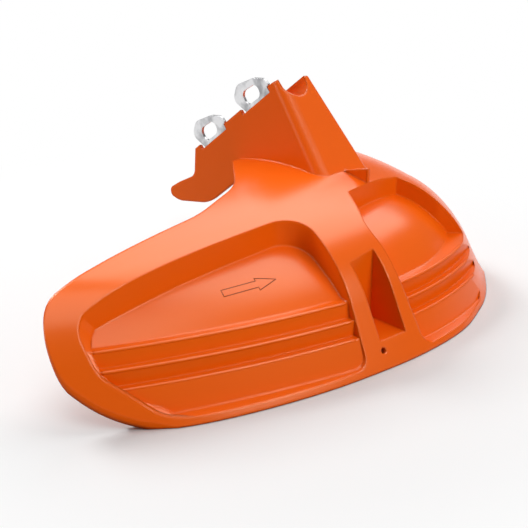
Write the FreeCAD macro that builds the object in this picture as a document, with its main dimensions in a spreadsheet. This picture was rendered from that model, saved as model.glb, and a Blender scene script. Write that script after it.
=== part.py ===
import FreeCAD, Part
import Sketcher
import math
import os

# Blade guard of a garden trimmer: an open moulded hood whose front skirt stands on the rim, with two
# stepped recesses, a pocket between them, a sloping neck that cups the trimmer tube and two metal eyes.
# The origin is the bottom centre of the bounding box, +X is the skirt side, +Y runs along the rim, +Z is up.

V = FreeCAD.Vector
doc = FreeCAD.newDocument("blade_guard")
sheet = doc.addObject("Spreadsheet::Sheet", "dims")

DIMENSIONS = [
    ("wall", 2.8, "moulded wall thickness"),
    ("tool_height", 190.0, "height of the upright trimming prisms"),
    ("tube_radius", 12.0, "radius of the saddle for the trimmer tube"),
    ("saddle_length", 220.0, "length of the saddle along the tube"),
    ("neck_length", 230.0, "length of the neck block along the tube"),
    ("side_width", 140.0, "width of the tools that trim the neck in side view"),
    ("pocket_width", 25.0, "pocket opening along the rim"),
    ("pocket_floor", 19.0, "height of the pocket floor above the rim"),
    ("pocket_back", 41.0, "distance of the pocket back wall behind the rim"),
    ("hole_radius", 2.2, "screw hole below the pocket lip"),
    ("hole_depth", 16.0, "length of the drill for the screw hole"),
    ("left_sweep", 26.0, "angle swept by the left stepped floor"),
    ("right_sweep", 60.0, "angle swept by the right stepped floor"),
    ("rib_thickness", 3.0, "thickness of the wedge rib in front of the neck"),
    ("column_radius", 10.0, "rounding between the near neck side and the end wall"),
    ("corner_radius", 6.0, "rounding between the far neck side and the end wall"),
    ("fill_length", 45.0, "length of the rounded fills in the lower recess corners"),
    ("eye_thickness", 2.4, "sheet thickness of the metal eyes"),
    ("eye_length", 40.5, "length of an eye along the flange"),
    ("eye_height", 22.5, "height of an eye above its seat"),
    ("eye_slot_length", 20.4, "length of the slot in an eye"),
    ("eye_slot_height", 12.4, "height of the slot in an eye"),
]
DIM = {}
for row, (alias, number, meaning) in enumerate(DIMENSIONS, start=1):
    sheet.set("A%d" % row, meaning)
    sheet.set("B%d" % row, str(number))
    sheet.setAlias("B%d" % row, alias)
    DIM[alias] = number
doc.recompute()

# The outlines below are taken from a point on the rim; this shift brings them to the bounding box centre.
SHIFT = V(151.3, 26.4, 0.0)
WALL = DIM["wall"]
UPRIGHT = FreeCAD.Rotation(V(1, 0, 0), 90)
FLAT = FreeCAD.Rotation()


def placed(x, y, z, rotation=FLAT):
    return FreeCAD.Placement(V(x, y, z) + SHIFT, rotation)


def rounded(corners):
    """Closed outline from (x, y, radius) corners as line segments and tangent arcs."""
    edges = []
    starts = []
    count = len(corners)
    for index in range(count):
        here = V(corners[index][0], corners[index][1], 0)
        before = V(corners[index - 1][0], corners[index - 1][1], 0)
        after = V(corners[(index + 1) % count][0], corners[(index + 1) % count][1], 0)
        radius = corners[index][2]
        to_before = (before - here).normalize()
        to_after = (after - here).normalize()
        if radius == 0:
            starts.append((here, here, None))
            continue
        half = to_before.getAngle(to_after) / 2
        reach = radius / math.tan(half)
        bisector = (to_before + to_after).normalize()
        middle = here + bisector * (radius / math.sin(half) - radius)
        starts.append((here + to_before * reach, here + to_after * reach, middle))
    for index in range(count):
        first, last, middle = starts[index]
        if middle is not None:
            edges.append(Part.Arc(first, middle, last))
        following = starts[(index + 1) % count][0]
        edges.append(Part.LineSegment(last, following))
    return edges


def widened(corners, distance):
    """The same outline moved outwards by a distance, for the walls around an opening."""
    area = 0.0
    count = len(corners)
    for index in range(count):
        x0, y0 = corners[index - 1][:2]
        x1, y1 = corners[index][:2]
        area += x0 * y1 - x1 * y0
    turn = 1.0 if area > 0 else -1.0
    moved = []
    for index in range(count):
        here = V(corners[index][0], corners[index][1], 0)
        before = V(corners[index - 1][0], corners[index - 1][1], 0)
        after = V(corners[(index + 1) % count][0], corners[(index + 1) % count][1], 0)
        along_in = (here - before).normalize()
        along_out = (after - here).normalize()
        normal_in = V(along_in.y, -along_in.x, 0) * turn
        normal_out = V(along_out.y, -along_out.x, 0) * turn
        bisector = (normal_in + normal_out).normalize()
        point = here + bisector * (distance / bisector.dot(normal_in))
        radius = corners[index][2]
        convex = along_in.cross(along_out).z * turn > 0
        if radius > 0:
            radius = radius + distance if convex else radius - distance
        moved.append((point.x, point.y, radius))
    return moved


def sketch(name, placement, edges):
    """A closed sketch whose neighbouring edges are joined by coincident constraints."""
    drawing = doc.addObject("Sketcher::SketchObject", name)
    drawing.Placement = placement
    drawing.addGeometry(edges, False)
    count = len(edges)
    for index in range(count):
        following = (index + 1) % count
        gaps = []
        for first in (1, 2):
            for second in (1, 2):
                gap = (drawing.getPoint(index, first) - drawing.getPoint(following, second)).Length
                gaps.append((gap, first, second))
        gap, first, second = min(gaps)
        drawing.addConstraint(Sketcher.Constraint("Coincident", index, first, following, second))
    return drawing


def extruded(name, drawing, direction, length_alias, symmetric=False):
    solid = doc.addObject("Part::Extrusion", name)
    solid.Base = drawing
    solid.DirMode = "Custom"
    solid.Dir = direction
    solid.Solid = True
    solid.Symmetric = symmetric
    solid.setExpression("LengthFwd", "dims." + length_alias)
    return solid


def upright_prism(name, corners, base):
    drawing = sketch(name + "_outline", placed(0, 0, base), rounded(corners))
    return extruded(name, drawing, V(0, 0, 1), "tool_height")


def joined(kind, name, shapes):
    result = doc.addObject(kind, name)
    result.Shapes = shapes
    return result


def cut(name, base, tool):
    result = doc.addObject("Part::Cut", name)
    result.Base = base
    result.Tool = tool
    return result


# Outer surface: sections across the rim, a leaning skirt that rolls over into a gently rising top.
RIM = [
    (-246.0, -106.5), (-225.0, -88.0), (-200.0, -69.2), (-172.0, -49.8), (-133.0, -31.4), (-89.0, -16.6),
    (-57.0, -8.4), (-22.0, -2.0), (10.0, 2.2), (40.0, 3.6), (66.0, 2.4), (88.0, -1.8), (106.0, -8.2),
    (120.0, -13.6), (132.0, -19.6), (143.0, -26.5), (153.0, -33.8), (161.0, -40.2), (167.0, -45.2),
    (171.5, -49.1),
]
SKIRT_ANGLE = math.radians(64.0)
TOP_ANGLE = math.radians(10.0)
ROLL_RADIUS = 87.9
ROLL_CENTRE = (102.1, 8.9)
CROWN = (158.0, 101.6)
CROWN_END = (236.0, 85.0)


def height_factor(y):
    if y > 53.8:
        reach = min((y - 53.8) / 118.6, 0.999)
        return (1.0 - reach ** 1.74) ** (1.0 / 4.63)
    if y < 0:
        return 1.0 + 0.00026 * y - 0.0000009 * y * y
    return 1.0


def roll_point(angle, inset):
    radius = ROLL_RADIUS - inset
    return ROLL_CENTRE[0] - radius * math.sin(angle), ROLL_CENTRE[1] + radius * math.cos(angle)


def section(name, y, rim_x, factor, inset):
    """One section at constant Y; a positive inset gives the inner face of the wall."""
    knee = roll_point(SKIRT_ANGLE, inset)
    middle = roll_point((SKIRT_ANGLE + TOP_ANGLE) / 2, inset)
    top = roll_point(TOP_ANGLE, inset)
    floor = -6.0
    foot_x = rim_x - knee[0] + (knee[1] * factor - floor) / (math.tan(SKIRT_ANGLE) * factor)
    foot = V(foot_x, floor, 0)
    points = [
        V(rim_x - knee[0], knee[1] * factor, 0),
        V(rim_x - middle[0], middle[1] * factor, 0),
        V(rim_x - top[0], top[1] * factor, 0),
        V(rim_x - CROWN[0], (CROWN[1] - inset) * factor, 0),
        V(rim_x - CROWN_END[0], (CROWN_END[1] - inset) * factor, 0),
        V(rim_x - CROWN_END[0], floor, 0),
    ]
    edges = [
        Part.LineSegment(foot, points[0]),
        Part.Arc(points[0], points[1], points[2]),
        Part.Arc(points[2], points[3], points[4]),
        Part.LineSegment(points[4], points[5]),
        Part.LineSegment(points[5], foot),
    ]
    return sketch(name, placed(0, y, 0, UPRIGHT), edges)


def lofted(name, sections):
    solid = doc.addObject("Part::Loft", name)
    solid.Sections = sections
    solid.Solid = True
    solid.Ruled = False
    return solid


outer_sections = []
inner_sections = []
for number, (y, rim_x) in enumerate(RIM):
    outer_sections.append(section("outer_%02d" % number, y, rim_x, height_factor(y), 0.0))
    inner_y = y - WALL if y > 100 else y
    if number == 0:
        inner_y = y - 8.0
    inner_sections.append(section("inner_%02d" % number, inner_y, rim_x, height_factor(y), WALL))
outer = lofted("outer_surface", outer_sections)
inner = lofted("inner_surface", inner_sections)

# Plan outline: straight back edge, rounded free end on the left, back edge drawn in towards the neck.
PLAN = [
    (-20.0, -136.0, 0), (-76.5, -203.8, 185.0), (-134.8, -243.0, 22.0), (-135.0, -72.0, 80.0),
    (-152.0, -20.0, 60.0),
    (-214.0, 36.0, 6.0), (-214.0, 96.0, 6.0), (-165.0, 130.0, 60.0), (-142.0, 180.0, 30.0),
    (40.0, 180.0, 0), (40.0, -136.0, 0),
]
plan = upright_prism("plan_trim", PLAN, 0.0)
hood = joined("Part::MultiCommon", "hood_solid", [outer, plan])

# Stepped recesses: an upright outline, and a floor turned about a far upright axis as concentric steps.
LEFT_OUTLINE = [
    (4.0, -31.0, 0), (-91.0, -17.5, 22.0), (-114.5, -205.5, 9.0), (-92.0, -204.0, 22.0), (-58.0, -177.5, 50.0),
    (-38.5, -149.0, 0), (-23.0, -117.0, 0), (-5.0, -60.0, 0),
]
RIGHT_OUTLINE = [
    (12.0, 30.0, 0), (-25.0, 22.0, 30.0), (-56.0, 21.5, 25.0), (-91.0, 41.5, 0), (-96.0, 106.0, 0),
    (-66.0, 123.0, 20.0), (-47.0, 141.0, 12.0), (-24.0, 129.0, 12.0), (0.0, 96.0, 0), (10.0, 60.0, 0),
]
LEFT_LEVELS = [5.0, 25.1, 36.9, 48.4]
RIGHT_LEVELS = [4.5, 22.5, 34.0, 45.5]
LEFT_AXIS = (-804.5, 183.0)
LEFT_RADII = [858.0, 823.5, 816.1, 810.1, 810.0, 804.2, 802.3, 796.3]
LEFT_FLOOR = [(773.0, 63.5), (740.0, 76.5), (688.0, 88.0)]
LEFT_START = -34.0
RIGHT_AXIS = (-261.0, 50.0)
RIGHT_RADII = [300.0, 253.5, 246.5, 240.0, 240.0, 234.0, 234.0, 228.0]
RIGHT_START = -25.0
RIGHT_INSET = 12.0
RIGHT_SINK = (0.90, 0.96)


def stepped_floor(name, axis, radii, heights, floor, start, sweep_alias, drop):
    """The space above a stepped floor, lowered by a drop for the wall under it."""
    levels = []
    for height in heights:
        levels += [height, height]
    points = []
    for radius, level in zip(radii, levels):
        points.append(V(radius - drop, level - drop, 0))
    ceiling = 175.0
    edges = []
    for first, second in zip(points, points[1:]):
        edges.append(Part.LineSegment(first, second))
    last = points[-1]
    if floor:
        arc_middle = V(floor[0][0] - drop * 0.5, floor[0][1] - drop, 0)
        arc_end = V(floor[1][0] - drop * 0.3, floor[1][1] - drop, 0)
        last = V(floor[2][0], floor[2][1] - drop, 0)
        edges.append(Part.Arc(points[-1], arc_middle, arc_end))
        edges.append(Part.LineSegment(arc_end, last))
    edges.append(Part.LineSegment(last, V(last.x, ceiling, 0)))
    edges.append(Part.LineSegment(V(last.x, ceiling, 0), V(radii[0] - drop, ceiling, 0)))
    edges.append(Part.LineSegment(V(radii[0] - drop, ceiling, 0), points[0]))
    turned = FreeCAD.Rotation(V(0, 0, 1), start).multiply(UPRIGHT)
    drawing = sketch(name + "_profile", placed(axis[0], axis[1], 0, turned), edges)
    solid = doc.addObject("Part::Revolution", name)
    solid.Source = drawing
    solid.Axis = V(0, 0, 1)
    solid.Base = V(axis[0], axis[1], 0) + SHIFT
    solid.Solid = True
    solid.setExpression("Angle", "dims." + sweep_alias)
    return solid


def curved_floor(name, inset, base):
    """The space above a floor that follows the outer surface at a distance."""
    sections = []
    for number, (y, rim_x) in enumerate(RIM[6:]):
        toward_end = min(max((y - 10.0) / 90.0, 0.0), 1.0)
        sink = RIGHT_SINK[0] + (RIGHT_SINK[1] - RIGHT_SINK[0]) * toward_end
        factor = height_factor(y) * sink
        sections.append(section("%s_%02d" % (name, number), y, rim_x, factor, inset))
    core = lofted(name + "_core", sections)
    block = doc.addObject("Part::Box", name + "_block")
    block.Placement = placed(-150.0, 0.0, base)
    block.Length = 190.0
    block.Width = 170.0
    block.Height = 140.0
    return cut(name, block, core)


def recess(name, outline, axis, radii, heights, floor, start, sweep_alias, drop):
    corners = widened(outline, drop) if drop > 0 else outline
    prism = upright_prism(name + "_walls", corners, -10.0)
    space = stepped_floor(name + "_steps", axis, radii, heights, floor, start, sweep_alias, drop)
    if not floor:
        above = curved_floor(name + "_floor", RIGHT_INSET + drop, heights[-1] - drop)
        space = joined("Part::MultiFuse", name + "_space", [space, above])
    return joined("Part::MultiCommon", name, [prism, space])


LEFT = (LEFT_OUTLINE, LEFT_AXIS, LEFT_RADII, LEFT_LEVELS, LEFT_FLOOR, LEFT_START, "left_sweep")
RIGHT = (RIGHT_OUTLINE, RIGHT_AXIS, RIGHT_RADII, RIGHT_LEVELS, [], RIGHT_START, "right_sweep")
left_recess = recess("left_recess", *LEFT, 0.0)
right_recess = recess("right_recess", *RIGHT, 0.0)
left_walls = recess("left_recess_shell", *LEFT, WALL)
right_walls = recess("right_recess_shell", *RIGHT, WALL)

# Sloping bank at the free end of the left recess, as points on its outer and inner edge.
LEFT_BANK = [
    ((-114.4, -194.3, 72.5), (-113.6, -184.2, 60.1)),
    ((-112.5, -202.7, 65.9), (-107.8, -194.1, 54.0)),
    ((-105.9, -207.9, 54.8), (-99.0, -201.8, 48.4)),
    ((-97.0, -207.5, 41.7), (-90.9, -200.7, 36.9)),
    ((-86.2, -203.0, 27.7), (-81.4, -196.5, 25.1)),
    ((-74.7, -195.3, 16.8), (-78.5, -184.7, 23.0)),
    ((-61.7, -183.6, 8.1), (-65.8, -177.2, 12.8)),
    ((-53.3, -173.6, 4.7), (-56.6, -170.0, 7.8)),
]
BANK_INWARD = V(-0.783, 0.441, -0.438)
BANK_DEPTH = 1.7
bank_sections = []
for number, (outer_point, inner_point) in enumerate(LEFT_BANK):
    inner_corner = V(*inner_point) + SHIFT + BANK_INWARD * BANK_DEPTH
    outer_corner = V(*outer_point) + SHIFT
    crest = outer_corner + (outer_corner - inner_corner) * 0.3
    triangle = doc.addObject("Part::Polygon", "left_bank_%02d" % number)
    triangle.Nodes = [crest, inner_corner, crest + BANK_INWARD * 20.0]
    triangle.Close = True
    bank_sections.append(triangle)
left_bank = lofted("left_bank", bank_sections)
left_bank.Ruled = True

# Rounded fills where the inner end wall of a recess meets its lowest step.
FILL_RADIUS = 9.0
FACING = FreeCAD.Rotation(V(0, 1, 0), V(0, 0, 1), V(1, 0, 0), "XYZ")


def corner_fill(name, wall_start, wall_end, level, side):
    x, y = wall_start[:2]
    far = y + side * FILL_RADIUS
    near = y - side * 2.0
    tilt = FILL_RADIUS * (1.0 - math.sqrt(0.5))
    edges = [
        Part.LineSegment(V(near, level - 2.0, 0), V(far, level - 2.0, 0)),
        Part.LineSegment(V(far, level - 2.0, 0), V(far, level, 0)),
        Part.Arc(V(far, level, 0), V(y + side * tilt, level + tilt, 0), V(y, level + FILL_RADIUS, 0)),
        Part.LineSegment(V(y, level + FILL_RADIUS, 0), V(near, level + FILL_RADIUS, 0)),
        Part.LineSegment(V(near, level + FILL_RADIUS, 0), V(near, level - 2.0, 0)),
    ]
    drawing = sketch(name + "_outline", placed(x, 0, 0, FACING), edges)
    along = V(wall_end[0] - x, wall_end[1] - y, 0).normalize()
    return extruded(name, drawing, along, "fill_length")


left_fill = corner_fill("left_fill", LEFT_OUTLINE[0], LEFT_OUTLINE[1], LEFT_LEVELS[0], -1.0)
right_fill = corner_fill("right_fill", RIGHT_OUTLINE[0], RIGHT_OUTLINE[1], RIGHT_LEVELS[0], 1.0)
left_fills = joined("Part::MultiFuse", "left_fills", [left_bank, left_fill])
left_open = cut("left_open", left_recess, left_fills)
right_open = cut("right_open", right_recess, right_fill)


def pocket_box(name, grown):
    box = doc.addObject("Part::Box", name)
    margin = "dims.wall" if grown else "0"
    box.setExpression("Length", "dims.pocket_back + 40 + %s" % margin)
    box.setExpression("Width", "dims.pocket_width + 2 * %s" % margin)
    box.setExpression("Height", "150")
    box.setExpression("Placement.Base.x", "%s - dims.pocket_back - %s" % (SHIFT.x, margin))
    box.setExpression("Placement.Base.y", "%s - dims.pocket_width / 2 - %s" % (SHIFT.y, margin))
    box.setExpression("Placement.Base.z", "dims.pocket_floor - %s" % margin)
    return box


pocket = pocket_box("pocket", False)
pocket_walls = pocket_box("pocket_shell", True)

# Neck: a tapered block along the tube direction, open behind, with a half-round saddle in its top.
SLOPE = math.radians(40.0)
ALONG = V(math.cos(SLOPE), 0, math.sin(SLOPE))
ACROSS = V(0, 1, 0)
LIFT = V(-math.sin(SLOPE), 0, math.cos(SLOPE))
NECK_FOOT = V(-117.0, 66.7, 101.3)
NECK_TOP = 87.5
FAR_TOP = 82.0
NECK_BOTTOM = -70.0
NEAR_BASE = -26.6
NEAR_TAPER = 0.087
FAR_BASE = 25.2
FAR_TAPER = -0.116
SADDLE_AXIS = (-4.3, 80.5)
neck_turn = FreeCAD.Rotation(ACROSS, LIFT, ALONG, "XYZ")


def neck_placement(u=0.0, y=0.0, p=0.0):
    base = NECK_FOOT + ALONG * u + ACROSS * y + LIFT * p
    return placed(base.x, base.y, base.z, neck_turn)


def near_face(p):
    return NEAR_BASE + NEAR_TAPER * p


def far_face(p):
    return FAR_BASE + FAR_TAPER * p


def neck_block(name, bottom, top, far_top, inset, front):
    corners = [
        (near_face(bottom) + inset, bottom, 0), (far_face(bottom) - inset, bottom, 0),
        (far_face(far_top) - inset, far_top, 0), (near_face(top) + inset, top, 0),
    ]
    drawing = sketch(name + "_section", neck_placement(u=front), rounded(corners))
    return extruded(name, drawing, ALONG * -1, "neck_length")


def side_tool(name, corners):
    drawing = sketch(name + "_outline", placed(0, NECK_FOOT.y, 0, UPRIGHT), rounded(corners))
    return extruded(name, drawing, V(0, 1, 0), "side_width", True)


# Side view of the neck and of the fin on its near wall, as X and Z.
NECK_SIDE = [
    (-80.0, 88.0, 0), (-150.0, 90.0, 0), (-205.0, 84.0, 40.0), (-246.0, 63.0, 30.0), (-273.0, 60.3, 0),
    (-273.0, 93.0, 8.0), (-228.0, 135.0, 0), (-150.0, 200.0, 0), (-80.0, 200.0, 0),
]
FIN_SIDE = [
    (-200.0, 108.0, 0), (-200.0, 90.0, 0), (-222.0, 66.5, 30.0), (-252.0, 41.0, 40.0), (-293.4, 31.0, 30.0),
    (-314.0, 34.6, 5.0), (-293.9, 48.5, 40.0), (-273.0, 60.3, 9.0), (-273.0, 75.0, 0),
]


def rounded_front(name, block, front, near_radius, far_radius):
    """The block with its two front uprights rounded."""
    doc.recompute()
    chosen = []
    for index, edge in enumerate(block.Shape.Edges, start=1):
        ends = [vertex.Point - NECK_FOOT - SHIFT for vertex in edge.Vertexes]
        at_front = max(abs(end.dot(ALONG) - front) for end in ends) < 0.01
        upright = abs(ends[0].dot(LIFT) - ends[1].dot(LIFT)) > 50
        if at_front and upright:
            radius = near_radius if ends[0].y < 0 else far_radius
            chosen.append((index, radius, radius))
    result = doc.addObject("Part::Fillet", name)
    result.Base = block
    result.Edges = chosen
    return result


neck_full = neck_block("neck_block", NECK_BOTTOM, NECK_TOP, FAR_TOP, 0.0, 0.0)
neck_columns = rounded_front("neck_columns", neck_full, 0.0, DIM["column_radius"], DIM["corner_radius"])
neck_side = side_tool("neck_side", NECK_SIDE)
neck_outer = joined("Part::MultiCommon", "neck_outer", [neck_columns, neck_side])

near_slab_corners = [
    (near_face(0.0), 0.0, 0), (near_face(0.0) + WALL, 0.0, 0),
    (near_face(NECK_TOP) + WALL, NECK_TOP, 0), (near_face(NECK_TOP), NECK_TOP, 0),
]
near_slab_section = sketch("near_slab_section", neck_placement(), rounded(near_slab_corners))
near_slab = extruded("near_slab", near_slab_section, ALONG * -1, "neck_length")
fin_side = side_tool("fin_side", FIN_SIDE)
fin = joined("Part::MultiCommon", "fin", [near_slab, fin_side])

HOLLOW_TOP = SADDLE_AXIS[1] - DIM["tube_radius"] - WALL
hollow_block = neck_block("hollow_block", -24.0, HOLLOW_TOP, HOLLOW_TOP, WALL, -WALL)
neck_hollow = rounded_front(
    "neck_hollow", hollow_block, -WALL, DIM["column_radius"] - WALL, DIM["corner_radius"] - WALL)
saddle = doc.addObject("Part::Cylinder", "saddle")
saddle.Placement = neck_placement(u=10.0 - DIM["saddle_length"], y=SADDLE_AXIS[0], p=SADDLE_AXIS[1])
saddle.setExpression("Radius", "dims.tube_radius")
saddle.setExpression("Height", "dims.saddle_length")
throat_section = sketch("throat_section", neck_placement(u=10.0), rounded([
    (SADDLE_AXIS[0] - DIM["tube_radius"], SADDLE_AXIS[1], 0),
    (SADDLE_AXIS[0] + DIM["tube_radius"], SADDLE_AXIS[1], 0),
    (SADDLE_AXIS[0] + DIM["tube_radius"], NECK_TOP + 20.0, 0),
    (SADDLE_AXIS[0] - DIM["tube_radius"], NECK_TOP + 20.0, 0),
]))
throat = extruded("throat", throat_section, ALONG * -1, "saddle_length")

# Wedge rib on the top in front of the neck end wall.
RIB_SIDE = [(-122.0, 95.0, 0), (-122.0, 99.2, 0), (-91.5, 109.0, 2.0), (-91.0, 96.0, 0)]
rib_outline = sketch("wedge_rib_outline", placed(0, 66.7, 0, UPRIGHT), rounded(RIB_SIDE))
rib = extruded("wedge_rib", rib_outline, V(0, 1, 0), "rib_thickness", True)

# Seats for the two eyes in the near flange, given as the middle along the tube direction.
EYE_SEATS = [("lower_eye", -102.4), ("upper_eye", -35.6)]
SEAT_LEVEL = 82.6
seats = []
for name, middle in EYE_SEATS:
    half = DIM["eye_length"] / 2
    seat_corners = [
        (near_face(SEAT_LEVEL) - 6.0, SEAT_LEVEL, 0), (SADDLE_AXIS[0], SEAT_LEVEL, 0),
        (SADDLE_AXIS[0], NECK_TOP + 6.0, 0), (near_face(SEAT_LEVEL) - 6.0, NECK_TOP + 6.0, 0),
    ]
    seat_section = sketch(name + "_seat_section", neck_placement(u=middle + half), rounded(seat_corners))
    seats.append(extruded(name + "_seat", seat_section, ALONG * -1, "eye_length"))

screw_hole = doc.addObject("Part::Cylinder", "screw_hole")
skirt_normal = V(math.sin(SKIRT_ANGLE), 0, math.cos(SKIRT_ANGLE))
hole_start = V(-6.8, -12.3, 12.6) - skirt_normal * 8.0
hole_turn = FreeCAD.Rotation(V(0, 0, 1), skirt_normal)
screw_hole.Placement = placed(hole_start.x, hole_start.y, hole_start.z, hole_turn)
screw_hole.setExpression("Radius", "dims.hole_radius")
screw_hole.setExpression("Height", "dims.hole_depth")

# Wall thickness: the inner surface is removed except where a recess or the pocket keeps its own wall.
kept_walls = joined("Part::MultiFuse", "kept_walls", [left_walls, right_walls, pocket_walls])
cavity = cut("cavity", inner, kept_walls)
outside = joined("Part::MultiFuse", "outside", [hood, neck_outer, rib])
openings = joined("Part::MultiFuse", "openings", [left_open, right_open, pocket])
carved = cut("carved", outside, openings)
hollowed = cut("hollowed", carved, cavity)
cleared = cut("neck_cleared", hollowed, neck_hollow)
finned = joined("Part::MultiFuse", "finned", [cleared, fin])
tube_space = joined("Part::MultiFuse", "tube_space", [saddle, throat])
cradled = cut("cradled", finned, tube_space)
seat_space = joined("Part::MultiFuse", "seat_space", seats)
seated = cut("seated", cradled, seat_space)
guard = cut("guard_shell", seated, screw_hole)
guard.Label = "guard_shell"
doc.recompute()


def eye_body(name, middle):
    """A flat tab with a long slot, its lower edge standing in the seat of the flange."""
    body = doc.addObject("PartDesign::Body", name)
    body.Label = name
    lean = FreeCAD.Rotation(ALONG, LIFT + ACROSS * NEAR_TAPER, ACROSS * -1, "XZY")
    base = NECK_FOOT + ALONG * middle + LIFT * SEAT_LEVEL
    base = base + ACROSS * (near_face(SEAT_LEVEL) + 0.3 + DIM["eye_thickness"])
    body.Placement = placed(base.x, base.y, base.z, lean)
    plate_sketch = body.newObject("Sketcher::SketchObject", name + "_plate")
    plate_sketch.AttachmentSupport = (body.Origin.OriginFeatures[3], [""])
    plate_sketch.MapMode = "FlatFace"
    half = DIM["eye_length"] / 2
    height = DIM["eye_height"]
    plate_sketch.addGeometry(rounded([
        (5.5 - half, 0.0, 0), (half - 0.4, 0.0, 0), (half - 0.4, 5.3, 0), (half + 2.2, 5.3, 1.2),
        (half + 1.0, 12.0, 5.5), (half - 10.0, height - 4.0, 9.0), (9.5 - half, height + 0.8, 10.0),
        (-half - 2.0, height - 7.5, 6.5),
    ]), False)
    pad = body.newObject("PartDesign::Pad", name + "_pad")
    pad.Profile = plate_sketch
    pad.setExpression("Length", "dims.eye_thickness")
    slot_sketch = body.newObject("Sketcher::SketchObject", name + "_slot_outline")
    slot_sketch.AttachmentSupport = (body.Origin.OriginFeatures[3], [""])
    slot_sketch.MapMode = "FlatFace"
    reach = DIM["eye_slot_length"] / 2
    rise = DIM["eye_slot_height"] / 2
    low = 9.3 - rise
    high = 9.3 + rise
    corner = rise - 0.9
    slot_sketch.addGeometry(rounded([
        (-reach, low, corner), (reach, low - 0.6, corner), (reach, high - 1.8, corner), (-reach, high, corner),
    ]), False)
    slot = body.newObject("PartDesign::Pocket", name + "_slot")
    slot.Profile = slot_sketch
    slot.Type = "ThroughAll"
    slot.Midplane = True
    doc.recompute()
    return body


nodes = [guard]
for name, middle in EYE_SEATS:
    nodes.append(eye_body(name, middle))
doc.recompute()

for item in doc.Objects:
    for word in ("Invalid", "Error"):
        if word in item.State:
            raise RuntimeError("%s is %s" % (item.Name, word))
os.makedirs("parts", exist_ok=True)
for node in nodes:
    shape = node.Shape
    if shape.isNull() or not shape.isValid():
        raise RuntimeError("%s has no valid shape" % node.Label)
    shape.exportStep("parts/%s.step" % node.Label)
    box = shape.optimalBoundingBox()
    print(node.Label, "solids", len(shape.Solids), "volume %.0f" % shape.Volume,
          "x %.1f %.1f y %.1f %.1f z %.1f %.1f" % (box.XMin, box.XMax, box.YMin, box.YMax, box.ZMin, box.ZMax))
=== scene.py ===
import math

import bmesh
import bpy
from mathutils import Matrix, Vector
from mathutils.bvhtree import BVHTree


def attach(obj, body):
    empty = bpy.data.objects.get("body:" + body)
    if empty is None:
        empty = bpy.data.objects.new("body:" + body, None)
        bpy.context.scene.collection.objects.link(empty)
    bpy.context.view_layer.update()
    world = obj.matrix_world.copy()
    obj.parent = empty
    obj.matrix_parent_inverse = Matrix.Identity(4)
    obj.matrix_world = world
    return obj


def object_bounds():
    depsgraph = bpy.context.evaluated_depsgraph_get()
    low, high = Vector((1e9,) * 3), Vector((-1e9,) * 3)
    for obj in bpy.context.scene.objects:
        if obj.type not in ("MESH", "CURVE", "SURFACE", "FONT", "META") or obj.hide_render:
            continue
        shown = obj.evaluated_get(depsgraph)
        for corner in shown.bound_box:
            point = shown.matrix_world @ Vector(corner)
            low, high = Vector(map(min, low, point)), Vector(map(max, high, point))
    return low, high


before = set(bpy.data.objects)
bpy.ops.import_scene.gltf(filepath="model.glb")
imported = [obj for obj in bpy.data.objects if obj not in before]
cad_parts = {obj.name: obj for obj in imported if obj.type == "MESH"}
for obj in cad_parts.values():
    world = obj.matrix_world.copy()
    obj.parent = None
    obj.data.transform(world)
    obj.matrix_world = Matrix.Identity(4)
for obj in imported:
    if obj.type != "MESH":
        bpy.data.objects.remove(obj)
CAD_LOW, CAD_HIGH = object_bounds()

bl_info = {
    "name": "Trimmer Blade Guard",
    "version": (1, 0, 0),
    "blender": (4, 5, 0),
    "location": "View3D > Sidebar > Blade Guard",
    "description": "Finishes the moulded hood and its metal eyes and sets the stage",
    "category": "Object",
}

DOWN = Vector((0.0, 0.0, -1.0))

# The rim point below the middle band, from which the marks, the steps and the camera are measured.
RIM_POINT = Vector((0.1513, 0.0264, 0.0))

# Moulded plastic. The gloss rises from its low to its high level as a face turns from upright to level.
PLASTIC_IOR = 1.5
GLOSS_TINT = (1.0, 0.95, 0.72, 1.0)
GLOSS_SLOPE_LOW = 0.2
GLOSS_SLOPE_HIGH = 0.6
GLOSS_LOW = 0.08
GLOSS_HIGH = 0.72
CLOUD_SCALE = 9.0
CLOUD_START = 0.3
CLOUD_END = 0.7
CLOUD_SHADE = (0.97, 0.92, 0.9)
SKIN_SCALE = 620.0
SKIN_STRENGTH = 0.06
SKIN_DEPTH = 0.0004
# The arrow line is darkened by this share: painted shade of an engraved line.
ARROW_PAINTED_SHADE = 0.45
# The screw boss is darkened by this share: painted shade inside the hole.
BOSS_PAINTED_SHADE = 0.35

# Plated metal of the eyes.
MARK_SCALE = 75.0
MARK_START = 0.36
MARK_END = 0.6
MARK_SHADE = (0.45, 0.45, 0.46)
PLATE_ROUGHNESS_LOW = 0.3
PLATE_ROUGHNESS_HIGH = 0.4
PLATE_EDGE = 0.0005
DENT_SCALE = 55.0
DENT_STRENGTH = 0.45
DENT_DEPTH = 0.002

# Direction arrow on the floor of the long recess, in plan from the rim point.
ARROW_TAIL = Vector((-0.0826, -0.0991, 0.0)) + RIM_POINT
ARROW_ANGLE = math.radians(73.7)
ARROW_LENGTH = 0.0427
ARROW_HEAD = 0.0154
ARROW_SHAFT_HALF = 0.0025
ARROW_HEAD_HALF = 0.0048
ARROW_LINE = 0.0004
ARROW_SINK = 0.4 * ARROW_LINE
ARROW_PITCH = 0.0015

# Step edges: centre in plan, then radius and height of each edge, and the swept angles in degrees.
LEFT_STEPS = (
    Vector((-0.8045, 0.183, 0.0)) + RIM_POINT,
    ((0.8161, 0.0251), (0.81, 0.0369), (0.8023, 0.0484)),
    (-29, -15),
)
RIGHT_STEPS = (
    Vector((-0.261, 0.05, 0.0)) + RIM_POINT,
    ((0.2465, 0.0225), (0.24, 0.034), (0.234, 0.0455)),
    (-7, 17),
)
EDGE_ROUND = 0.0014
EDGE_SINK = 0.0009
EDGE_INSET = 0.002
EDGE_TOLERANCE = 0.0004
EDGE_POINTS_PER_DEGREE = 4

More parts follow.
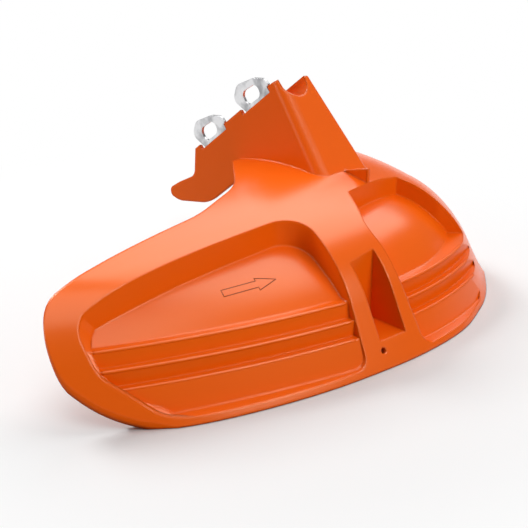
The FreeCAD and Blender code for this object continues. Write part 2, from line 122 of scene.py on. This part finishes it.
# Boss behind the screw hole: the middle of the hole in the wall, its axis, and the boss itself.
HOLE_PLACE = Vector((0.14324, 0.0141, 0.01199))
HOLE_AXIS = Vector((0.898794, 0.0, 0.438371))
BOSS_RADIUS = 0.0042
BOSS_LENGTH = 0.01
BOSS_GAP = 0.0016
BOSS_SIDES = 32

# Stage. The floor has one colour where it is seen and a darker one for the light that it bounces back,
# and it fades to plain white between the two backdrop distances from the middle of the guard.
WHITE = (1.0, 1.0, 1.0, 1.0)
WORLD_LEVEL = 0.12
FLOOR_SEEN = (0.86, 0.86, 0.86, 1.0)
FLOOR_BOUNCE = (0.46, 0.46, 0.46, 1.0)
FLOOR_ROUGHNESS = 0.9
FLOOR_DROP = 0.0004
BACKDROP_START = 0.2
BACKDROP_END = 0.4

# Each soft light: its place and the side of its square face. All of them face the lamp target.
LAMP_TARGET = Vector((0.0, 0.0, 0.08))
BACK_LAMP = (Vector((-0.75, 1.68, 2.7)), 2.7)
LEFT_LAMP = (Vector((-2.44, -0.21, 2.14)), 1.2)
TOP_LAMP = (Vector((0.68, -0.68, 3.03)), 2.2)
SIDE_LAMP = (Vector((2.75, 0.34, 1.68)), 1.4)
FRONT_LAMP = (Vector((-1.69, -3.05, 1.02)), 1.6)

# Camera: its place, and half the width of the square frame and the focal length, both in pixels.
CAMERA_PLACE = Vector((0.4677, -0.6085, 0.4345)) + RIM_POINT
FRAME_HALF_WIDTH = 264.0
FOCAL_LENGTH = 1200.0


class GuardSettings(bpy.types.PropertyGroup):
    """Colours and finish of the moulding and of the eyes."""

    plastic_colour: bpy.props.FloatVectorProperty(
        name="Plastic colour",
        description="Colour of the moulded hood",
        subtype="COLOR",
        size=4,
        min=0.0,
        max=1.0,
        default=(0.77, 0.106, 0.002, 1.0),
    )
    plastic_roughness: bpy.props.FloatProperty(
        name="Plastic roughness",
        description="Roughness of the moulded surface",
        subtype="FACTOR",
        min=0.0,
        max=1.0,
        default=0.26,
    )
    edge_radius: bpy.props.FloatProperty(
        name="Edge radius",
        description="Softening of the moulded edges",
        subtype="DISTANCE",
        unit="LENGTH",
        min=0.0,
        default=0.0024,
    )
    metal_colour: bpy.props.FloatVectorProperty(
        name="Metal colour",
        description="Colour of the plated eyes",
        subtype="COLOR",
        size=4,
        min=0.0,
        max=1.0,
        default=(0.7, 0.7, 0.71, 1.0),
    )


class StageSettings(bpy.types.PropertyGroup):
    """Camera, light and floor."""

    camera_azimuth: bpy.props.FloatProperty(
        name="Camera azimuth",
        description="Direction of the camera round the guard",
        subtype="ANGLE",
        unit="ROTATION",
        default=math.radians(45.0),
    )
    camera_elevation: bpy.props.FloatProperty(
        name="Camera elevation",
        description="Angle at which the camera looks down",
        subtype="ANGLE",
        unit="ROTATION",
        default=math.radians(25.0),
    )
    field_of_view: bpy.props.FloatProperty(
        name="Field of view",
        description="Angle across the square frame",
        subtype="ANGLE",
        unit="ROTATION",
        default=2.0 * math.atan(FRAME_HALF_WIDTH / FOCAL_LENGTH),
    )
    floor_size: bpy.props.FloatProperty(
        name="Floor size",
        description="Side of the pale floor",
        subtype="DISTANCE",
        unit="LENGTH",
        default=40.0,
    )
    key_power: bpy.props.FloatProperty(
        name="Key light",
        description="Power of the large soft light behind and above the guard",
        unit="POWER",
        default=64.0,
    )
    top_power: bpy.props.FloatProperty(
        name="Top light",
        description="Power of the soft light above the guard",
        unit="POWER",
        default=27.0,
    )
    left_power: bpy.props.FloatProperty(
        name="Left light",
        description="Power of the soft light on the far side of the guard",
        unit="POWER",
        default=62.0,
    )
    side_power: bpy.props.FloatProperty(
        name="Side light",
        description="Power of the soft light on the rim side of the guard",
        unit="POWER",
        default=62.0,
    )
    fill_power: bpy.props.FloatProperty(
        name="Fill light",
        description="Power of the soft light in front of the guard",
        unit="POWER",
        default=40.0,
    )


def shaded(colour, shade):
    """A colour with each channel scaled by its own share."""
    return [channel * share for channel, share in zip(colour, shade)] + [1.0]


def noise_texture(tree, coordinates, scale, detail):
    """Noise that is fixed to the piece."""
    noise = tree.nodes.new("ShaderNodeTexNoise")
    noise.inputs["Scale"].default_value = scale
    noise.inputs["Detail"].default_value = detail
    tree.links.new(coordinates.outputs["Object"], noise.inputs["Vector"])
    return noise


def two_tones(tree, noise, start, dark, end, light):
    """Colour that runs from dark to light with the noise."""
    ramp = tree.nodes.new("ShaderNodeValToRGB")
    low, high = ramp.color_ramp.elements
    low.position = start
    low.color = dark
    high.position = end
    high.color = light
    tree.links.new(noise.outputs["Fac"], ramp.inputs["Fac"])
    return ramp.outputs["Color"]


def soft_relief(tree, height, radius, samples, strength, depth):
    """Normal with softened edges and the shallow relief of a height."""
    bevel = tree.nodes.new("ShaderNodeBevel")
    bevel.samples = samples
    bevel.inputs["Radius"].default_value = radius
    bump = tree.nodes.new("ShaderNodeBump")
    bump.inputs["Strength"].default_value = strength
    bump.inputs["Distance"].default_value = depth
    tree.links.new(height.outputs["Fac"], bump.inputs["Height"])
    tree.links.new(bevel.outputs["Normal"], bump.inputs["Normal"])
    return bump.outputs["Normal"]


def plastic_gloss(tree, coordinates):
    """Gloss that rises as a face turns upward."""
    slope = tree.nodes.new("ShaderNodeSeparateXYZ")
    tree.links.new(coordinates.outputs["Normal"], slope.inputs["Vector"])
    gloss = tree.nodes.new("ShaderNodeMapRange")
    gloss.inputs["From Min"].default_value = GLOSS_SLOPE_LOW
    gloss.inputs["From Max"].default_value = GLOSS_SLOPE_HIGH
    gloss.inputs["To Min"].default_value = GLOSS_LOW
    gloss.inputs["To Max"].default_value = GLOSS_HIGH
    tree.links.new(slope.outputs["Z"], gloss.inputs["Value"])
    return gloss.outputs["Result"]


def plastic_material(name, settings, shade=1.0):
    """Glossy moulded plastic with a faint orange-peel skin and softened edges. A shade below one darkens
    it all, as painted shade.
    """
    material = bpy.data.materials.new(name)
    material.use_nodes = True
    tree = material.node_tree
    shader = tree.nodes["Principled BSDF"]
    shader.inputs["Roughness"].default_value = settings.plastic_roughness
    shader.inputs["IOR"].default_value = PLASTIC_IOR
    shader.inputs["Specular Tint"].default_value = GLOSS_TINT
    coordinates = tree.nodes.new("ShaderNodeTexCoord")
    # A shade below one darkens the colour: painted shade.
    light = shaded(settings.plastic_colour[:3], (shade, shade, shade))
    dark = shaded(light[:3], CLOUD_SHADE)
    cloud = noise_texture(tree, coordinates, scale=CLOUD_SCALE, detail=2.0)
    colour = two_tones(tree, cloud, CLOUD_START, dark, CLOUD_END, light)
    skin = noise_texture(tree, coordinates, scale=SKIN_SCALE, detail=2.0)
    normal = soft_relief(
        tree,
        skin,
        radius=settings.edge_radius,
        samples=6,
        strength=SKIN_STRENGTH,
        depth=SKIN_DEPTH,
    )
    tree.links.new(colour, shader.inputs["Base Color"])
    tree.links.new(plastic_gloss(tree, coordinates), shader.inputs["Specular IOR Level"])
    tree.links.new(normal, shader.inputs["Normal"])
    return material


def plated_material(name, settings):
    """Satin zinc plate with uneven tone and shallow dents."""
    material = bpy.data.materials.new(name)
    material.use_nodes = True
    tree = material.node_tree
    shader = tree.nodes["Principled BSDF"]
    shader.inputs["Metallic"].default_value = 1.0
    coordinates = tree.nodes.new("ShaderNodeTexCoord")
    light = shaded(settings.metal_colour[:3], (1.0, 1.0, 1.0))
    dark = shaded(light[:3], MARK_SHADE)
    marks = noise_texture(tree, coordinates, scale=MARK_SCALE, detail=3.0)
    colour = two_tones(tree, marks, MARK_START, dark, MARK_END, light)
    roughness = tree.nodes.new("ShaderNodeMapRange")
    roughness.inputs["To Min"].default_value = PLATE_ROUGHNESS_LOW
    roughness.inputs["To Max"].default_value = PLATE_ROUGHNESS_HIGH
    tree.links.new(marks.outputs["Fac"], roughness.inputs["Value"])
    dents = noise_texture(tree, coordinates, scale=DENT_SCALE, detail=1.0)
    normal = soft_relief(
        tree,
        dents,
        radius=PLATE_EDGE,
        samples=4,
        strength=DENT_STRENGTH,
        depth=DENT_DEPTH,
    )
    tree.links.new(colour, shader.inputs["Base Color"])
    tree.links.new(roughness.outputs["Result"], shader.inputs["Roughness"])
    tree.links.new(normal, shader.inputs["Normal"])
    return material


def assign(piece, material):
    """Gives a piece its only material."""
    piece.data.materials.clear()
    piece.data.materials.append(material)


def hood_surface(context):
    """The hood's faces, ready for plumb lines."""
    return BVHTree.FromObject(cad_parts["guard_shell"], context.evaluated_depsgraph_get())


def drop(surface, place):
    """Where a plumb line from above the guard first meets the surface, or None."""
    return surface.ray_cast(Vector((place.x, place.y, CAD_HIGH[2])), DOWN)[0]


def bead_curve(name, radius, rounding):
    """An empty curve that draws its lines as round beads."""
    curve = bpy.data.curves.new(name, "CURVE")
    curve.dimensions = "3D"
    curve.bevel_depth = radius
    curve.bevel_resolution = rounding
    return curve


def add_line(curve, places, closed):
    """Adds one straight-sided line through the places."""
    line = curve.splines.new("POLY")
    line.points.add(len(places) - 1)
    line.use_cyclic_u = closed
    for point, place in zip(line.points, places):
        point.co = (place.x, place.y, place.z, 1.0)


class GUARD_OT_hood(bpy.types.Operator):
    """Finishes the moulded hood."""

    bl_idname = "guard.hood"
    bl_label = "Finish the hood"

    def execute(self, context):
        settings = context.scene.guard_settings
        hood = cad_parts["guard_shell"]
        assign(hood, plastic_material("orange_moulding", settings))
        return {"FINISHED"}


class GUARD_OT_edges(bpy.types.Operator):
    """Rounds the edges of the steps in both recesses."""

    bl_idname = "guard.edges"
    bl_label = "Round the step edges"

    def execute(self, context):
        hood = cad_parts["guard_shell"]
        surface = hood_surface(context)
        curve = bead_curve("step_edges", radius=EDGE_ROUND, rounding=3)
        curve.use_fill_caps = True
        for centre, edges, sweep in (LEFT_STEPS, RIGHT_STEPS):
            for radius, height in edges:
                places = self.run(surface, centre, radius, height, sweep)
                if len(places) < 2:
                    raise RuntimeError("a step edge is missing")
                add_line(curve, places, closed=False)
        rounds = bpy.data.objects.new("step_edges", curve)
        context.scene.collection.objects.link(rounds)
        assign(rounds, hood.data.materials[0])
        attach(rounds, "root")
        return {"FINISHED"}

    def run(self, surface, centre, radius, height, sweep):
        """Points along one edge, for as far as the flat of its step reaches."""
        places = []
        level = Vector((0.0, 0.0, height - EDGE_SINK))
        first, last = sweep
        for step in range(first * EDGE_POINTS_PER_DEGREE, last * EDGE_POINTS_PER_DEGREE):
            angle = math.radians(step / EDGE_POINTS_PER_DEGREE)
            outward = Vector((math.cos(angle), math.sin(angle), 0.0))
            hit = drop(surface, centre + outward * (radius - EDGE_INSET))
            if hit is not None and abs(hit.z - height) < EDGE_TOLERANCE:
                places.append(centre + outward * (radius - EDGE_SINK) + level)
        return places


class GUARD_OT_boss(bpy.types.Operator):
    """Adds the round boss behind the screw hole below the pocket, darkened as painted shade inside the
    hole.
    """

    bl_idname = "guard.boss"
    bl_label = "Add the screw boss"

    def execute(self, context):
        settings = context.scene.guard_settings
        mesh = bpy.data.meshes.new("screw_boss")
        builder = bmesh.new()
        bmesh.ops.create_cone(
            builder,
            cap_ends=True,
            segments=BOSS_SIDES,
            radius1=BOSS_RADIUS,
            radius2=BOSS_RADIUS,
            depth=BOSS_LENGTH,
        )
        builder.to_mesh(mesh)
        builder.free()
        boss = bpy.data.objects.new("screw_boss", mesh)
        boss.rotation_mode = "QUATERNION"
        boss.rotation_quaternion = HOLE_AXIS.to_track_quat("Z", "Y")
        boss.location = HOLE_PLACE - HOLE_AXIS * (BOSS_GAP + BOSS_LENGTH / 2)
        context.scene.collection.objects.link(boss)
        # The boss's plastic is darkened: painted shade inside the screw hole.
        assign(boss, plastic_material("boss_painted_shade", settings, BOSS_PAINTED_SHADE))
        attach(boss, "root")
        return {"FINISHED"}


class GUARD_OT_arrow(bpy.types.Operator):
    """Lays the outline of the direction arrow on the long recess floor, darkened as painted shade of an
    engraved line.
    """

    bl_idname = "guard.arrow"
    bl_label = "Add the arrow"

    def execute(self, context):
        settings = context.scene.guard_settings
        surface = hood_surface(context)
        places = []
        for place in self.route():
            hit = drop(surface, place)
            if hit is None:
                raise RuntimeError("the arrow misses the hood")
            places.append(hit + DOWN * ARROW_SINK)
        curve = bead_curve("direction_arrow", radius=ARROW_LINE, rounding=2)
        add_line(curve, places, closed=True)
        arrow = bpy.data.objects.new("direction_arrow", curve)
        context.scene.collection.objects.link(arrow)
        # The arrow's plastic is darkened: painted shade of an engraved line.
        assign(arrow, plastic_material("arrow_line_painted_shade", settings, ARROW_PAINTED_SHADE))
        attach(arrow, "root")
        return {"FINISHED"}

    def route(self):
        """Points of the outline in plan, close enough together to follow the curved floor."""
        along = Vector((math.cos(ARROW_ANGLE), math.sin(ARROW_ANGLE), 0.0))
        across = Vector((-along.y, along.x, 0.0))
        neck = ARROW_LENGTH - ARROW_HEAD
        corners = (
            (0.0, ARROW_SHAFT_HALF),
            (0.0, -ARROW_SHAFT_HALF),
            (neck, -ARROW_SHAFT_HALF),
            (neck, -ARROW_HEAD_HALF),
            (ARROW_LENGTH, 0.0),
            (neck, ARROW_HEAD_HALF),
            (neck, ARROW_SHAFT_HALF),
        )
        places = [ARROW_TAIL + along * far + across * side for far, side in corners]
        points = []
        for start, end in zip(places, places[1:] + places[:1]):
            count = max(1, round((end - start).length / ARROW_PITCH))
            points += [start.lerp(end, step / count) for step in range(count)]
        return points


class GUARD_OT_eyes(bpy.types.Operator):
    """Finishes the two metal eyes."""

    bl_idname = "guard.eyes"
    bl_label = "Finish the eyes"

    def execute(self, context):
        settings = context.scene.guard_settings
        material = plated_material("bright_plate", settings)
        for name in ("lower_eye", "upper_eye"):
            assign(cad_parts[name], material)
        return {"FINISHED"}


class GUARD_OT_stage(bpy.types.Operator):
    """Builds the pale floor, the soft light and the camera."""

    bl_idname = "guard.stage"
    bl_label = "Set the stage"

    def execute(self, context):
        scene = context.scene
        settings = scene.guard_stage
        scene.view_settings.view_transform = "Standard"
        floor = self.floor(scene, settings)
        self.world(scene)
        self.lights(scene, settings, floor)
        self.camera(scene, settings)
        return {"FINISHED"}

    def floor(self, scene, settings):
        """A flat floor just below the rim."""
        mesh = bpy.data.meshes.new("floor")
        builder = bmesh.new()
        bmesh.ops.create_grid(builder, x_segments=1, y_segments=1, size=settings.floor_size / 2)
        builder.to_mesh(mesh)
        builder.free()
        floor = bpy.data.objects.new("floor", mesh)
        floor.location = DOWN * FLOOR_DROP
        scene.collection.objects.link(floor)
        assign(floor, self.floor_material())
        return floor

    def combined(self, tree, operation, first, second):
        """Two values put together by one operation."""
        node = tree.nodes.new("ShaderNodeMath")
        node.operation = operation
        tree.links.new(first, node.inputs[0])
        tree.links.new(second, node.inputs[1])
        return node.outputs[0]

    def mixed(self, tree, share, first, second):
        """The first shader where the share is zero and the second where it is one."""
        node = tree.nodes.new("ShaderNodeMixShader")
        tree.links.new(share, node.inputs["Fac"])
        tree.links.new(first, node.inputs[1])
        tree.links.new(second, node.inputs[2])
        return node.outputs["Shader"]

    def seen_directly(self, tree):
        """One where a ray comes from the camera, a glossy surface or through glass, and zero elsewhere."""
        path = tree.nodes.new("ShaderNodeLightPath").outputs
        first = self.combined(tree, "MAXIMUM", path["Is Camera Ray"], path["Is Glossy Ray"])
        return self.combined(tree, "MAXIMUM", first, path["Is Transmission Ray"])

    def away_from_guard(self, tree):
        """Zero round the guard, rising to one away from it."""
        coordinates = tree.nodes.new("ShaderNodeTexCoord")
        distance = tree.nodes.new("ShaderNodeVectorMath")
        distance.operation = "LENGTH"
        tree.links.new(coordinates.outputs["Object"], distance.inputs[0])
        spread = tree.nodes.new("ShaderNodeMapRange")
        spread.interpolation_type = "SMOOTHSTEP"
        spread.inputs["From Min"].default_value = BACKDROP_START
        spread.inputs["From Max"].default_value = BACKDROP_END
        tree.links.new(distance.outputs["Value"], spread.inputs["Value"])
        return spread.outputs["Result"]

    def floor_material(self):
        """Pale matt floor that fades to plain white away from the guard."""
        material = bpy.data.materials.new("pale_floor")
        material.use_nodes = True
        tree = material.node_tree
        seen = tree.nodes["Principled BSDF"]
        bounce = tree.nodes.new("ShaderNodeBsdfPrincipled")
        for shader, colour in ((seen, FLOOR_SEEN), (bounce, FLOOR_BOUNCE)):
            shader.inputs["Base Color"].default_value = colour
            shader.inputs["Roughness"].default_value = FLOOR_ROUGHNESS
            shader.inputs["Specular IOR Level"].default_value = 0.0
        backdrop = tree.nodes.new("ShaderNodeEmission")
        backdrop.inputs["Color"].default_value = WHITE
        backdrop.inputs["Strength"].default_value = 1.0
        direct = self.seen_directly(tree)
        near = self.mixed(tree, direct, bounce.outputs["BSDF"], seen.outputs["BSDF"])
        away = self.combined(tree, "MULTIPLY", direct, self.away_from_guard(tree))
        surface = self.mixed(tree, away, near, backdrop.outputs["Emission"])
        tree.links.new(surface, tree.nodes["Material Output"].inputs["Surface"])
        return material

    def world(self, scene):
        """Even white light from all round."""
        world = bpy.data.worlds.new("studio")
        scene.world = world
        world.use_nodes = True
        background = world.node_tree.nodes["Background"]
        background.inputs["Color"].default_value = WHITE
        background.inputs["Strength"].default_value = WORLD_LEVEL

    def lights(self, scene, settings, floor):
        """Five soft lights. The side and front ones leave the floor out, so that its shadow stays deep."""
        self.area(scene, "softbox_back", BACK_LAMP, settings.key_power)
        self.area(scene, "softbox_left", LEFT_LAMP, settings.left_power)
        self.area(scene, "softbox_top", TOP_LAMP, settings.top_power)
        fills = (
            self.area(scene, "softbox_side", SIDE_LAMP, settings.side_power),
            self.area(scene, "softbox_front", FRONT_LAMP, settings.fill_power),
        )
        left_out = bpy.data.collections.new("left_out_by_fills")
        left_out.objects.link(floor)
        left_out.collection_objects[0].light_linking.link_state = "EXCLUDE"
        for lamp in fills:
            lamp.light_linking.receiver_collection = left_out

    def area(self, scene, name, lamp_form, power):
        """One square soft light that faces the guard."""
        place, size = lamp_form
        data = bpy.data.lights.new(name, "AREA")
        data.shape = "SQUARE"
        data.size = size
        data.energy = power
        lamp = bpy.data.objects.new(name, data)
        lamp.location = place
        lamp.rotation_mode = "QUATERNION"
        lamp.rotation_quaternion = (LAMP_TARGET - place).to_track_quat("-Z", "Y")
        scene.collection.objects.link(lamp)
        return lamp

    def camera(self, scene, settings):
        """The camera at its place, turned by its two angles."""
        azimuth = settings.camera_azimuth
        elevation = settings.camera_elevation
        back = Vector((
            math.sin(azimuth) * math.cos(elevation),
            -math.cos(azimuth) * math.cos(elevation),
            math.sin(elevation),
        ))
        data = bpy.data.cameras.new("camera")
        data.sensor_fit = "HORIZONTAL"
        data.angle = settings.field_of_view
        camera = bpy.data.objects.new("camera", data)
        camera.location = CAMERA_PLACE
        camera.rotation_mode = "QUATERNION"
        camera.rotation_quaternion = (-back).to_track_quat("-Z", "Y")
        scene.collection.objects.link(camera)
        scene.camera = camera


class GUARD_PT_panel(bpy.types.Panel):
    """Lists the guard's pieces and settings."""

    bl_idname = "GUARD_PT_panel"
    bl_label = "Blade Guard"
    bl_space_type = "VIEW_3D"
    bl_region_type = "UI"
    bl_category = "Blade Guard"

    def draw(self, context):
        layout = self.layout
        for name in GuardSettings.__annotations__:
            layout.prop(context.scene.guard_settings, name)
        for piece in (GUARD_OT_hood, GUARD_OT_edges, GUARD_OT_boss, GUARD_OT_arrow, GUARD_OT_eyes):
            layout.operator(piece.bl_idname)
        for name in StageSettings.__annotations__:
            layout.prop(context.scene.guard_stage, name)
        layout.operator(GUARD_OT_stage.bl_idname)


CLASSES = (
    GuardSettings,
    StageSettings,
    GUARD_OT_hood,
    GUARD_OT_edges,
    GUARD_OT_boss,
    GUARD_OT_arrow,
    GUARD_OT_eyes,
    GUARD_OT_stage,
    GUARD_PT_panel,
)


def register():
    for item in CLASSES:
        bpy.utils.register_class(item)
    bpy.types.Scene.guard_settings = bpy.props.PointerProperty(type=GuardSettings)
    bpy.types.Scene.guard_stage = bpy.props.PointerProperty(type=StageSettings)


def unregister():
    del bpy.types.Scene.guard_stage
    del bpy.types.Scene.guard_settings
    for item in reversed(CLASSES):
        bpy.utils.unregister_class(item)


def main():
    register()
    bpy.ops.guard.hood()
    bpy.ops.guard.edges()
    bpy.ops.guard.boss()
    bpy.ops.guard.arrow()
    bpy.ops.guard.eyes()
    bpy.ops.guard.stage()


if __name__ == "__main__":
    main()
